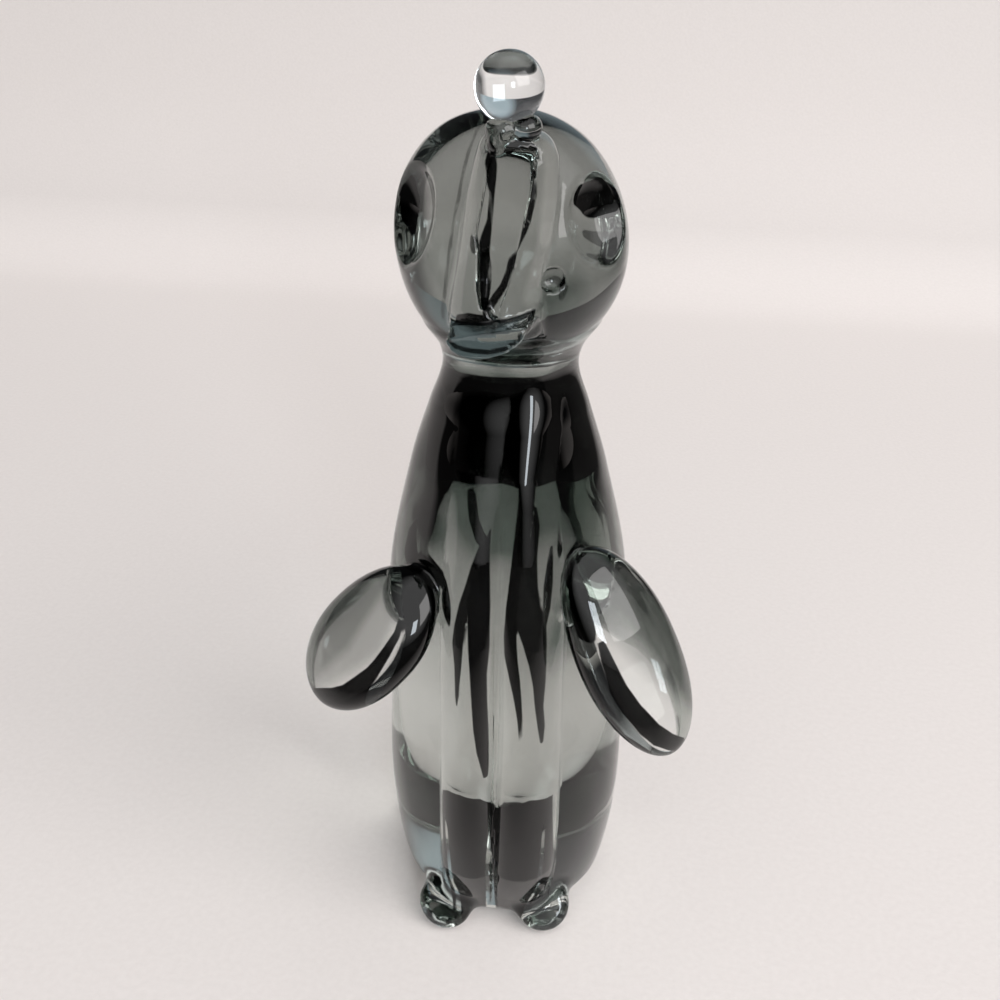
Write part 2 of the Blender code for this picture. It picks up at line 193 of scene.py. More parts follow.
def body_distance(p):
    z = p[..., 2]
    y = p[..., 1] - body_axis_y(z)
    across = body_radius(z)
    deep = np.where(y > 0, np.interp(z, BACK_Z, BACK_Y) - body_axis_y(z), across)
    slope = np.interp(z, BODY_Z, BODY_SLOPE)
    side = oval_distance(p[..., 0], y, across, deep) / np.sqrt(1.0 + slope**2)
    return blend_max(side, z - BODY_TOP, 1.0)


# Each leg: (heights, places of its middle), (heights, half-widths), (heights, how far it stands out).
LEG_HEIGHTS = (2.0, 10.0, 20.0, 45.0, 80.0, 96.0, 110.0, 126.0)
LEFT_LEG = (
    (LEG_HEIGHTS, (-5.6, -5.2, -4.8, -4.6, -4.2, -3.8, -3.4, -3.0)),
    (LEG_HEIGHTS, (4.8, 5.4, 5.8, 5.8, 5.6, 5.2, 4.8, 4.6)),
    (LEG_HEIGHTS, (0.0, 1.4, 3.6, 4.6, 4.2, 2.8, 0.3, 0.0)),
)
RIGHT_LEG = (
    (LEG_HEIGHTS, (6.8, 6.8, 7.0, 7.2, 7.0, 6.2, 5.1, 6.0)),
    (LEG_HEIGHTS, (4.8, 5.6, 6.2, 6.3, 6.0, 5.4, 4.8, 4.4)),
    (LEG_HEIGHTS, (0.0, 1.4, 3.6, 4.6, 4.2, 3.4, 2.2, 0.8)),
)
# A leg is a steep ridge low down, and runs out softly on the chest.
LEG_ROUNDNESS = ((90.0, 108.0), (0.55, 1.6))


def leg_ridge(p, middle, half, tall):
    """How far a leg stands out of the front wall."""
    z = p[..., 2]
    share = np.clip((p[..., 0] - np.interp(z, *middle)) / np.interp(z, *half), -1.0, 1.0)
    return np.interp(z, *tall) * (1.0 - share**2) ** np.interp(z, *LEG_ROUNDNESS)


# Flippers: root, reach, facing, width, swell and half-thickness of each leaf.
LEFT_FLIPPER = ((-12.0, -18.0, 89.2), (-21.0, -5.0, -24.2), (-0.50, -0.74, 0.45), 21.2, 0.04, 6.0)
RIGHT_FLIPPER = ((14.5, -16.0, 96.7), (19.8, -7.0, -37.3), (0.62, -0.70, 0.40), 20.6, 0.01, 6.0)


def on_flipper(p, root, reach, facing, width, swell, half_thickness):
    """Places along, across and through a flipper, each 1 at its edge, and its three half-axes."""
    root, reach, facing = (np.asarray(v, float) for v in (root, reach, facing))
    length = np.linalg.norm(reach)
    a = reach / length
    face = facing - a * (facing @ a)
    face = face / np.linalg.norm(face)
    across = np.cross(face, a)
    q = p - root
    u = (q @ a) * 2.0 / length - 1.0
    half = width / 2.0 * (1.0 + swell * np.clip(u, -1.2, 1.2))
    return u, (q @ across) / half, (q @ face) / half_thickness, (length / 2.0, half, half_thickness)


def flipper_distance(p, flipper):
    u, v, w, (long, wide, deep) = on_flipper(p, *flipper)
    k0 = np.sqrt(u**2 + v**2 + w**2)
    k1 = np.sqrt((u / long) ** 2 + (v / wide) ** 2 + (w / deep) ** 2)
    return k0 * (k0 - 1.0) / np.maximum(k1, 1e-9)


def outward(turn, lift):
    """Direction from the head's centre; turn goes round from the front to the right."""
    turn, lift = math.radians(turn), math.radians(lift)
    return np.array((math.sin(turn) * math.cos(lift), -math.cos(turn) * math.cos(lift), math.sin(lift)))


# How much narrower than long the head is.
HEAD_NARROWING = 0.6
# The bulge at the back of the crown: its middle from the head's, its radius and its fillet.
BULGE_OFFSET = np.array((-0.62, 0.21, 0.72)) * 8.4
BULGE_RADIUS = 12.6
BULGE_FILLET = 6.0
# The dish of each eye: degrees to the right and up, radius of the hollow and how deep it is pressed.
EYE_DISHES = ((-60, 18, 12.0, 4.2), (57, 22, 9.6, 4.2))


def head_distance(p):
    q = p - HEAD_CENTRE
    up = np.where(q[..., 2] > 0, HEAD_CROWN, HEAD_RADIUS)
    narrow = np.full_like(up, HEAD_RADIUS - HEAD_NARROWING)
    scale = np.stack((narrow, np.full_like(up, HEAD_RADIUS), up), -1)
    k0 = np.linalg.norm(q / scale, axis=-1)
    k1 = np.linalg.norm(q / scale**2, axis=-1)
    d = k0 * (k0 - 1.0) / np.maximum(k1, 1e-9)
    d = blend_min(d, sphere(p, HEAD_CENTRE + BULGE_OFFSET, BULGE_RADIUS), BULGE_FILLET)
    for turn, lift, hollow, sunk in EYE_DISHES:
        middle = HEAD_CENTRE + outward(turn, lift) * (HEAD_RADIUS - sunk + hollow)
        d = cut_out(d, sphere(p, middle, hollow), 1.0)
    return d


# The bit on the face that was sheared open, and the channel between the two cuts.
SNOUT_TOP = 166.6
SNOUT_BOTTOM = 136.5
SNOUT_DEPTH = 6.0
MOUTH_TOP = 165.2
MOUTH_BOTTOM = 140.5


def snout_distance(p):
    x, y, z = p[..., 0], p[..., 1], p[..., 2]
    middle = along(z, ((136, -0.6), (145, -0.2), (152, 0.9), (158, 1.7), (163, 2.2), (168, 1.9)))
    half = along(z, ((134, 7.6), (145, 7.0), (152, 7.0), (158, 6.9), (163, 6.2), (166, 5.2), (170, 4.0)))
    front = along(z, ((134, -21.8), (141, -23.2), (150, -23.0), (160, -21.8), (167, -20.8)))
    d = oval_distance(x - middle, y - front - SNOUT_DEPTH, half, SNOUT_DEPTH)
    d = blend_max(d, z - SNOUT_TOP, 2.5)
    return blend_max(d, SNOUT_BOTTOM - z, 1.0)


# (height, place) of the channel's left wall and of its right wall.
MOUTH_LEFT = (
    (140, 0.2), (142, -1.1), (148, -2.1), (153, -3.0), (157, -2.3), (161, -1.7), (166, -0.9),
)
MOUTH_RIGHT = (
    (140, 0.4), (142, 0.6), (145.3, 1.8), (148.4, 2.7), (156.6, 4.2), (160, 4.9), (166, 5.8),
)


def mouth_distance(p):
    """The channel between the two shear cuts, wide at the top and pointed below."""
    x, y, z = p[..., 0], p[..., 1], p[..., 2]
    left = along(z, MOUTH_LEFT)
    right = along(z, MOUTH_RIGHT)
    floor = along(z, ((140, -21.5), (146, -20.6), (156, -19.8), (166, -19.2)))
    walls = np.maximum(left - x, x - right)
    d = blend_max(walls, y - floor, 0.8)
    d = blend_max(d, z - MOUTH_TOP, 0.8)
    return blend_max(d, MOUTH_BOTTOM - z, 0.5)


# The lip: its middle from side to side and in height, its tilt, and where it narrows from and over.
LIP_MIDDLE = -0.4
LIP_HEIGHT = 139.2
LIP_TILT = math.radians(12)
LIP_ROOT = 14.0
LIP_LENGTH = 14.5
# Half-width and depth at its root, how much less they are at its end, and its flat top.
LIP_HALF, LIP_NARROWING = 7.4, 1.4
LIP_DEEP, LIP_THINNING = 4.6, 1.2
LIP_TOP = 1.1
# The blunt sheared end: how far in front it is, at which height, and how far it leans, in radians.
LIP_END = 28.2
LIP_END_HEIGHT = 139.0
LIP_END_LEAN = 0.2
LIP_START = 10.0


def lip_distance(p):
    x = p[..., 0] - LIP_MIDDLE
    z = p[..., 2] - LIP_HEIGHT
    u = x * math.cos(LIP_TILT) + z * math.sin(LIP_TILT)
    w = -x * math.sin(LIP_TILT) + z * math.cos(LIP_TILT)
    share = np.clip((-p[..., 1] - LIP_ROOT) / LIP_LENGTH, 0.0, 1.0)
    half = LIP_HALF - LIP_NARROWING * eased(share)
    deep = LIP_DEEP - LIP_THINNING * share
    d = oval_distance(u, w - 0.9, half, deep)
    d = blend_max(d, w - LIP_TOP, 0.5)
    end = -(p[..., 1] + LIP_END) * math.cos(LIP_END_LEAN)
    end += (p[..., 2] - LIP_END_HEIGHT) * math.sin(LIP_END_LEAN)
    d = blend_max(d, end, 0.5)
    return blend_max(d, p[..., 1] + LIP_START, 1.0)


def seat_distance(p):
    """Two lumps under the ball: a heart-shaped one and a mottled one beside it."""
    d = ellipsoid(p, (0.2, -18.4, 167.2), (2.4, 2.6, 2.2))
    d = blend_min(d, ellipsoid(p, (-0.4, -19.6, 165.8), (1.2, 1.6, 1.5)), 0.8)
    return blend_min(d, ellipsoid(p, (3.6, -18.0, 167.8), (2.3, 2.6, 1.8)), 0.5)


# Each foot: place, which side, front end, and how far its end face looks up.
FEET = ((-9.6, -1.0, -20.2, 0.5), (10.9, 1.0, -18.0, 0.6))
HEEL_RADIUS = 5.0
TOE_RADIUS = 5.8


def foot_distance(p, x, side, front, rise):
    """A short stub that points forward, with a blunt sheared end."""
    heel = (x - side * 1.6, front + 12.0, 8.4)
    toe = (x, front + 2.6, 5.6)
    d = capsule(p, heel, toe, HEEL_RADIUS, TOE_RADIUS)
    lean = np.array((side * 0.10, -0.94, rise))
    lean = lean / np.linalg.norm(lean)
    end = (p - np.array((x, front, TOE_RADIUS))) @ lean
    return blend_max(d, end, 1.6)


def waviness(p):
    """Slow unevenness of hand-worked glass."""
    x, y, z = p[..., 0], p[..., 1], p[..., 2]
    wave = np.sin(x * 0.31 + y * 0.22 + z * 0.085 + 0.4) + np.sin(y * 0.37 - x * 0.16 + z * 0.13 + 2.1)
    wave += 0.6 * np.sin(x * 0.52 + z * 0.21 + 1.2) * np.sin(y * 0.47 + 0.7)
    return 0.06 * wave


# Fillets where the bits of glass run together.
FLIPPER_FILLET = 1.6
FOOT_FILLET = 2.4
NECK_FILLET = 1.6
# Small cuts in the face: middle, half-axes and fillet. A slit, a pit beside it and a dent on the cheek.
FACE_CUTS = (
    ((-1.7, -22.4, 146.6), (0.9, 4.4, 4.6), 0.5),
    ((-3.6, -23.0, 152.8), (1.2, 1.2, 1.9), 0.5),
    ((8.4, -17.6, 145.4), (2.2, 1.8, 1.9), 0.6),
)
# Air between the ball and the cup that it sits in.
BALL_GAP = 0.06


def glass_distance(p):
    """Signed distance to the fused glass, negative inside."""
    d = body_distance(p)
    in_front = eased((body_axis_y(p[..., 2]) - 6.0 - p[..., 1]) / 6.0)
    d = d - in_front * (leg_ridge(p, *LEFT_LEG) + leg_ridge(p, *RIGHT_LEG))
    for flipper in (LEFT_FLIPPER, RIGHT_FLIPPER):
        d = blend_min(d, flipper_distance(p, flipper), FLIPPER_FILLET)
    for foot in FEET:
        d = blend_min(d, foot_distance(p, *foot), FOOT_FILLET)
    face = blend_min(head_distance(p), snout_distance(p), 0.9)
    face = blend_min(face, lip_distance(p), 0.7)
    face = cut_out(face, mouth_distance(p), 0.5)
    for middle, half, fillet in FACE_CUTS:
        face = cut_out(face, ellipsoid(p, middle, half), fillet)
    face = blend_min(face, seat_distance(p), 0.6)
    face = cut_out(face, sphere(p, BALL_CENTRE, BALL_RADIUS + BALL_GAP), 0.2)
    d = blend_min(d, face, NECK_FILLET)
    d = d + waviness(p) * eased((p[..., 2] - 1.0) / 6.0)
    return blend_max(d, -p[..., 2], 0.8)


def gradient(function, p, step=0.05):
    g = np.empty_like(p)
    for axis in range(3):
        shift = np.zeros(3)
        shift[axis] = step
        g[..., axis] = (function(p + shift) - function(p - shift)) / (2 * step)
    return g


def sampled(function, low, high, cell):
    """Values on a grid, exact near the surface and only of the right sign elsewhere."""
    block = 4
    counts = np.ceil((high - low) / (cell * block)).astype(int)
    corner = [low[i] + cell * block * (np.arange(counts[i]) + 0.5) for i in range(3)]
    rough = function(np.stack(np.meshgrid(*corner, indexing="ij"), -1))
    values = rough.repeat(block, 0).repeat(block, 1).repeat(block, 2).astype(np.float32)
    near = np.argwhere(np.abs(rough) < cell * block * 1.6)
    inner = np.stack(np.meshgrid(*[np.arange(block)] * 3, indexing="ij"), -1).reshape(-1, 3)
    at = (near[:, None, :] * block + inner[None]).reshape(-1, 3)
    values[at[:, 0], at[:, 1], at[:, 2]] = function(low + cell * (at + 0.5))
    return values


CORNERS = np.array([(x, y, z) for x in (0, 1) for y in (0, 1) for z in (0, 1)])
EDGES = [(a, b) for a in range(8) for b in range(a + 1, 8) if np.abs(CORNERS[a] - CORNERS[b]).sum() == 1]


def surface_net(values):
    """Points and quads of the zero surface, in cells."""
    inside = values < 0
    shape = np.array(values.shape) - 1
    count = np.zeros(shape, np.int8)
    for x, y, z in CORNERS:
        count += inside[x : x + shape[0], y : y + shape[1], z : z + shape[2]]
    cells = np.argwhere((count > 0) & (count < 8))
    index = np.full(shape, -1, np.int64)
    index[cells[:, 0], cells[:, 1], cells[:, 2]] = np.arange(len(cells))
    at = cells[:, None, :] + CORNERS[None]
    corner = values[at[..., 0], at[..., 1], at[..., 2]]
    total = np.zeros((len(cells), 3))
    hits = np.zeros(len(cells))
    for a, b in EDGES:
        crossed = (corner[:, a] < 0) != (corner[:, b] < 0)
        t = corner[crossed, a] / (corner[crossed, a] - corner[crossed, b])
        total[crossed] += CORNERS[a] + t[:, None] * (CORNERS[b] - CORNERS[a])
        hits[crossed] += 1
    points = cells + total / hits[:, None]
    quads = []
    for axis in range(3):
        u, v = (axis + 1) % 3, (axis + 2) % 3
        ahead = np.roll(inside, -1, axis)
        change = inside != ahead
        change[tuple(slice(-1, None) if i == axis else slice(None) for i in range(3))] = False
        where = np.argwhere(change)
        where = where[(where[:, u] > 0) & (where[:, v] > 0)]
        ring = []
        for du, dv in ((1, 1), (0, 1), (0, 0), (1, 0)):
            cell = where.copy()
            cell[:, u] -= du
            cell[:, v] -= dv
            ring.append(index[cell[:, 0], cell[:, 1], cell[:, 2]])
        ring = np.stack(ring, 1)
        outward_facing = inside[where[:, 0], where[:, 1], where[:, 2]]
        ring[~outward_facing] = ring[~outward_facing][:, ::-1]
        quads.append(ring)
    return points, np.concatenate(quads)


def relaxed(points, quads, function):
    """Evens out the quads along the surface, then puts each point exactly on it."""
    a = quads.reshape(-1)
    b = np.roll(quads, -1, 1).reshape(-1)
    degree = np.bincount(a, minlength=len(points)) + np.bincount(b, minlength=len(points))
    for _ in range(ROUNDS):
        total = np.zeros_like(points)
        for axis in range(3):
            total[:, axis] = np.bincount(a, points[b, axis], len(points))
            total[:, axis] += np.bincount(b, points[a, axis], len(points))
        pull = total / degree[:, None] - points
        g = gradient(function, points)
        normal = g / np.linalg.norm(g, axis=1, keepdims=True)
        pull -= normal * (pull * normal).sum(1, keepdims=True)
        points = points + PULL * pull
        for _ in range(2):
            g = gradient(function, points)
            square = np.maximum((g * g).sum(1, keepdims=True), 0.05)
            step = function(points)[:, None] * g / square
            points = points - np.clip(step, -LONGEST_STEP, LONGEST_STEP)
    g = gradient(function, points)
    return points, g / np.linalg.norm(g, axis=1, keepdims=True)


def mesh_object(name, points, faces, normals=None):
    """A smooth object from points in millimetres and faces that all have the same number of sides."""
    mesh = bpy.data.meshes.new(name)
    mesh.vertices.add(len(points))
    mesh.vertices.foreach_set("co", (points * MM).astype(np.float32).ravel())
    sides = faces.shape[1]
    mesh.loops.add(faces.size)
    mesh.loops.foreach_set("vertex_index", faces.astype(np.int32).ravel())
    mesh.polygons.add(len(faces))
    mesh.polygons.foreach_set("loop_start", np.arange(len(faces), dtype=np.int32) * sides)
    mesh.update(calc_edges=True)
    mesh.validate()
    mesh.shade_smooth()
    if normals is not None:
        mesh.normals_split_custom_set_from_vertices(normals.astype(np.float32))
    piece = bpy.data.objects.new(name, mesh)
    bpy.context.scene.collection.objects.link(piece)
    return piece


def solid_of(name, function, low, high, cell):
    """The surface where a distance function is zero, as an object."""
    low = np.asarray(low, float) - MARGIN
    high = np.asarray(high, float) + MARGIN
    values = sampled(function, low, high, cell)
    points, quads = surface_net(values)
    points, normals = relaxed(low + (points + 0.5) * cell, quads, function)
    return mesh_object(name, points, quads, normals)


def mesh_points(piece):
    """The piece's points, in millimetres."""
    points = np.empty(len(piece.data.vertices) * 3, np.float32)
    piece.data.vertices.foreach_get("co", points)
    return points.reshape(-1, 3).astype(float) / MM


def add_layer(piece, name, values):
    """Writes one number per point to the mesh, for the material to read."""
    layer = piece.data.attributes.new(name, "FLOAT", "POINT")
    layer.data.foreach_set("value", values.astype(np.float32))


def ball_distance(p):
    return sphere(p, BALL_CENTRE, BALL_RADIUS) + waviness(p * 1.7) * 0.5


def nodes_of(material):
    material.use_nodes = True
    tree = material.node_tree
    return tree.nodes, tree.links


def feed(links, socket, value):
    """Sets a socket to a constant, or links it to the output that feeds it."""
    if isinstance(value, bpy.types.NodeSocket):
        links.new(value, socket)
    else:
        socket.default_value = value


def noise(nodes, links, scale, detail=2.0):
    place = nodes.new("ShaderNodeTexCoord")
    texture = nodes.new("ShaderNodeTexNoise")
    texture.inputs["Scale"].default_value = scale
    texture.inputs["Detail"].default_value = detail
    links.new(place.outputs["Object"], texture.inputs["Vector"])
    return texture.outputs["Fac"]


def layer_value(nodes, name):
    """What add_layer has written to the mesh."""
    made = nodes.new("ShaderNodeAttribute")
    made.attribute_name = name
    return made.outputs["Fac"]


def calculated(nodes, links, operation, a, b):
    made = nodes.new("ShaderNodeMath")
    made.operation = operation
    feed(links, made.inputs[0], a)
    feed(links, made.inputs[1], b)
    return made.outputs["Value"]


def mapped(nodes, links, value, start, end):
    """The value, taken from the first range to the second."""
    made = nodes.new("ShaderNodeMapRange")
    made.inputs["From Min"].default_value, made.inputs["From Max"].default_value = start
    made.inputs["To Min"].default_value, made.inputs["To Max"].default_value = end
    links.new(value, made.inputs["Value"])
    return made.outputs["Result"]


def ramp(nodes, links, value, stops):
    made = nodes.new("ShaderNodeValToRGB")
    elements = made.color_ramp.elements
    while len(elements) < len(stops):
        elements.new(0.5)
    for element, (place, colour) in zip(elements, stops):
        element.position = place
        element.color = (*colour, 1.0)
    links.new(value, made.inputs["Fac"])
    return made.outputs["Color"]


def mixed(nodes, links, blend, factor, a, b):
    made = nodes.new("ShaderNodeMix")
    made.data_type = "RGBA"
    made.blend_type = blend
    feed(links, made.inputs["Factor"], factor)
    feed(links, made.inputs["A"], a)
    feed(links, made.inputs["B"], b)
    return made.outputs["Result"]


def scaled(nodes, links, colour, level):
    made = nodes.new("ShaderNodeVectorMath")
    made.operation = "SCALE"
    links.new(colour, made.inputs[0])
    links.new(level, made.inputs["Scale"])
    return made.outputs["Vector"]


def likeness(nodes, links, direction, aim):
    """Cosine of the angle between a direction and a fixed one."""
    made = nodes.new("ShaderNodeVectorMath")
    made.operation = "DOT_PRODUCT"
    links.new(direction, made.inputs[0])
    made.inputs[1].default_value = Vector(aim).normalized()
    return made.outputs["Value"]


# Each glass: what its inside absorbs and how densely, and its surface's colour bare and at its darkest,
# which the painted shade also uses.
SMOKE_GLASS = ((0.14, 0.22, 0.16), 11.0, (0.97, 0.98, 0.97), (0.05, 0.07, 0.06))
CLEAR_GLASS = ((0.5, 0.8, 0.9), 4.0, (0.99, 1.0, 1.0), (0.9, 0.93, 0.95))
# The layer "painted_shade_mask" holds 0.5 at the edge of the painted shade, and changes by 0.5 over this
# many millimetres.
SHADE_REACH = 2.0
# The painted shade's edge is soft from a little outside it to a little inside it, as values of that
# layer.
SHADE_EDGE = (0.47, 0.54)


def glass_material(name, absorbed, density, clear, darkest_tint):
    """Solid glass, its surface tinted as the layer "smoke" says and darkened by the painted shade in two
    more layers.
    """
    material = bpy.data.materials.new(name)
    nodes, links = nodes_of(material)
    shader = nodes["Principled BSDF"]
    shader.inputs["Transmission Weight"].default_value = 1.0
    shader.inputs["IOR"].default_value = 1.5
    shader.inputs["Roughness"].default_value = 0.0

    # The surface tint, with the painted shade and painted light that the layer "smoke" holds.
    uneven = mapped(nodes, links, noise(nodes, links, 45.0), (0.0, 1.0), (0.85, 1.15))
    amount = calculated(nodes, links, "MULTIPLY", layer_value(nodes, "smoke"), uneven)
    amount.node.use_clamp = True
    tint = mixed(nodes, links, "MIX", amount, (*clear, 1.0), (*darkest_tint, 1.0))

    # Painted shade: inside its patches the surface colour is darkened by the patch's depth.
    inside = mapped(nodes, links, layer_value(nodes, "painted_shade_mask"), SHADE_EDGE, (0.0, 1.0))
    inside.node.interpolation_type = "SMOOTHSTEP"
    dark = calculated(nodes, links, "MULTIPLY", inside, layer_value(nodes, "painted_shade_depth"))
    left = calculated(nodes, links, "SUBTRACT", 1.0, dark)
    through = calculated(nodes, links, "POWER", left, 2.0)
    links.new(scaled(nodes, links, tint, through), shader.inputs["Base Color"])

    volume = nodes.new("ShaderNodeVolumeAbsorption")
    volume.inputs["Color"].default_value = (*absorbed, 1.0)
    volume.inputs["Density"].default_value = density
    links.new(volume.outputs["Volume"], nodes["Material Output"].inputs["Volume"])
    return material


# How dark the surface tint is, from 0 to 1, at each height: darker up the body and head. The flat
# underside is painted dark as the shade under the figurine, and the chest is painted nearly dark as
# shade.
TINT_AND_SHADE_BY_HEIGHT = (
    (0.0, 1.0), (1.1, 1.0), (1.3, 0.0), (40.0, 0.0), (62.0, 0.12), (80.0, 0.58), (100.0, 0.80),
    (108.0, 0.96), (124.0, 0.96), (128.0, 0.72), (138.0, 0.74), (146.0, 0.62),
)
# Where the tint is darker than that: (centre, reach, how much more). Those on the chest, the shoulders
# and the right leg are painted shade.
SMOKE_AND_SHADE_SPOTS = (
    ((9.5, -16.5, 142.0), 7.5, 0.35),
    ((16.0, -6.0, 147.0), 7.0, 0.20),
    ((-14.0, -11.0, 145.0), 8.0, 0.20),
    ((0.0, -12.0, 132.0), 10.0, 0.30),
    ((0.5, -18.5, 103.5), 9.0, 0.45),
    ((12.0, -13.0, 101.0), 8.0, 0.20),
    ((12.5, -18.5, 80.0), 9.0, 0.42),
    ((-12.5, -17.0, 98.0), 6.0, 0.25),
)
# Where it is lighter, as painted light, on the walls of the sheared snout and round the neck: (how much
# less, reach, one end, the other end).
PAINTED_LIGHT_PATCHES = (
    (0.10, 2.6, (-3.8, -17.5, 166.0), (-6.0, -20.5, 150.0)),
    (0.10, 2.6, (-6.0, -20.5, 150.0), (-6.8, -20.0, 141.0)),
    (0.36, 2.6, (6.5, -17.5, 164.0), (7.8, -19.5, 153.0)),
    (0.20, 2.6, (7.8, -19.5, 153.0), (5.6, -20.4, 144.0)),
    (0.60, 1.9, (-8.8, -10.5, 127.4), (0.0, -13.6, 127.2)),
    (0.60, 1.9, (0.0, -13.6, 127.2), (9.0, -10.5, 128.4)),
)


# On the flippers it is painted shade over the outer part, the rim and the root: how dark it is past its
# edge, at the outer rim and at the root.
FLIPPER_SHADE_TINT, RIM_SHADE_TINT, ROOT_SHADE_TINT = 0.66, 0.22, 0.8
LEFT_SHADE_TINT_EDGE = ((-0.6, -0.02), (0.1, 0.30), (0.6, 0.22))


def tint_with_painted_shade_and_light(p):
    """How dark the surface tint is, from 0 to 1, at points of the fused glass, with its painted shade
    and painted light.
    """
    amount = along(p[:, 2], TINT_AND_SHADE_BY_HEIGHT)
    for flipper, outer in ((LEFT_FLIPPER, -1.0), (RIGHT_FLIPPER, 1.0)):
        u, v, w, _ = on_flipper(p, *flipper)
        near = np.sqrt(u**2 + v**2 + w**2) < 1.15
        if outer < 0:
            edge = along(u, LEFT_SHADE_TINT_EDGE)
        else:
            edge = -0.05 + 0.52 * u
        flipper_shade = FLIPPER_SHADE_TINT * eased((v - edge) * outer / 0.30)
        flipper_shade += RIM_SHADE_TINT * eased((v * outer - 0.45) / 0.4)
        flipper_shade = np.maximum(flipper_shade, ROOT_SHADE_TINT * eased((-0.45 - u) / 0.2))
        amount = np.where(near, flipper_shade, amount)
    for centre, reach, more in SMOKE_AND_SHADE_SPOTS:
        amount = amount + more * eased(1.2 - np.linalg.norm(p - np.array(centre), axis=1) / reach)
    for less, reach, a, b in PAINTED_LIGHT_PATCHES:
        amount = amount - less * eased(-capsule(p, a, b, reach, reach) / 1.2)
    return np.clip(amount, 0.0, 1.0)


# Streaks of painted shade down the legs: how dark each is, then (height, left edge, right edge).
LEG_PAINTED_SHADE = (
    (0.97, (
        (66.5, -6.0, -5.8), (69.0, -6.2, -5.4), (71.3, -6.2, -5.3), (75.8, -6.3, -4.9),
        (80.5, -6.7, -4.6), (84.0, -6.4, -4.3), (88.6, -5.5, -3.9), (92.5, -4.4, -3.5),
        (95.5, -3.7, -3.4),
    )),
    (0.99, (
        (49.0, -0.9, -0.1), (51.8, -1.4, 0.0), (55.8, -2.2, 0.0), (61.4, -2.8, -0.1),
        (67.4, -3.1, -0.3), (74.3, -3.4, -0.4), (79.8, -3.7, 0.0), (88.3, -4.1, -0.1),
        (92.4, -4.2, -0.3), (95.6, -3.6, -0.5), (98.3, -2.7, -0.6), (101.7, -0.7, -0.6),
    )),
    (0.985, (
        (58.8, 5.8, 6.1), (61.0, 5.6, 6.3), (64.5, 5.3, 6.3), (69.6, 4.5, 6.0), (74.4, 3.5, 5.6),
        (78.4, 2.6, 5.1), (82.6, 2.4, 4.8), (87.9, 2.6, 4.7), (91.7, 2.9, 4.8), (97.6, 3.3, 6.1),
        (107.0, 3.9, 6.6), (118.0, 3.5, 6.5),
    )),
    (0.97, (
        (58.0, 9.6, 10.1), (62.3, 9.0, 10.3), (67.2, 8.4, 9.9), (72.6, 7.9, 10.1),
        (77.2, 7.1, 10.1), (81.6, 5.9, 10.0), (84.3, 4.9, 9.8), (88.4, 4.7, 8.7), (92.5, 4.7, 8.0),
        (97.4, 5.5, 7.6), (102.7, 6.5, 7.7), (106.0, 6.6, 7.0),
    )),
    (0.97, (
        (84.0, 9.3, 9.7), (88.0, 9.0, 10.3), (92.0, 8.9, 10.4), (96.0, 9.2, 10.2), (98.5, 9.6, 9.9),
    )),
)
# Painted shade on the lower legs in the same way, and where it ends: (distance to the side, height).
LOWER_LEG_PAINTED_SHADE = (
    (0.985, (
        (1.5, -5.6, -1.1), (8.0, -6.3, -0.9), (16.0, -7.6, -0.6), (25.0, -7.9, -0.5),
        (33.0, -8.3, 0.1), (39.6, -9.3, 0.6),
    )),
    (0.985, (
        (1.5, 1.2, 6.2), (8.0, 0.9, 7.6), (16.0, 0.7, 9.9), (25.0, 0.7, 10.4), (33.0, 0.2, 10.6),
        (39.6, -0.1, 11.2),
    )),
    (0.98, (
        (6.0, -7.8, -7.0), (16.0, -9.4, -8.3), (25.0, -9.5, -8.7), (33.0, -9.6, -8.8),
        (39.6, -9.4, -8.8),
    )),
    (0.98, (
        (8.0, 8.2, 8.9), (16.0, 10.6, 12.2), (25.0, 11.0, 12.9), (33.0, 11.1, 12.6),
        (39.6, 11.0, 12.3),
    )),
)
LOWER_LEG_TOP = (
    (-10.4, 41.0), (-8.0, 44.0), (-5.4, 44.7), (-1.5, 44.1), (0.5, 41.7), (1.2, 39.9), (3.3, 42.4),
    (8.1, 44.5), (12.2, 43.0),
)
# How dark that painted shade is near the floor: heights, and the strengths at the first two of them.
LOWER_LEG_HEIGHTS = (3.0, 12.0, 24.0)
LOWER_LEG_STRENGTHS = (0.93, 0.98)
# Painted shade across the chest: (distance to the side, lower edge, upper edge), and how dark it is.
CHEST_PAINTED_SHADE = (
    (-13.6, 108.0, 118.0), (-12.0, 107.4, 123.0), (-10.4, 107.2, 125.6), (-5.5, 108.6, 126.2),
    (0.0, 109.0, 126.6), (5.0, 109.4, 126.9), (10.5, 108.6, 127.0), (13.0, 107.4, 123.0),
    (15.5, 107.2, 116.0), (16.6, 107.6, 110.0),
)
CHEST_STRENGTH = 0.96
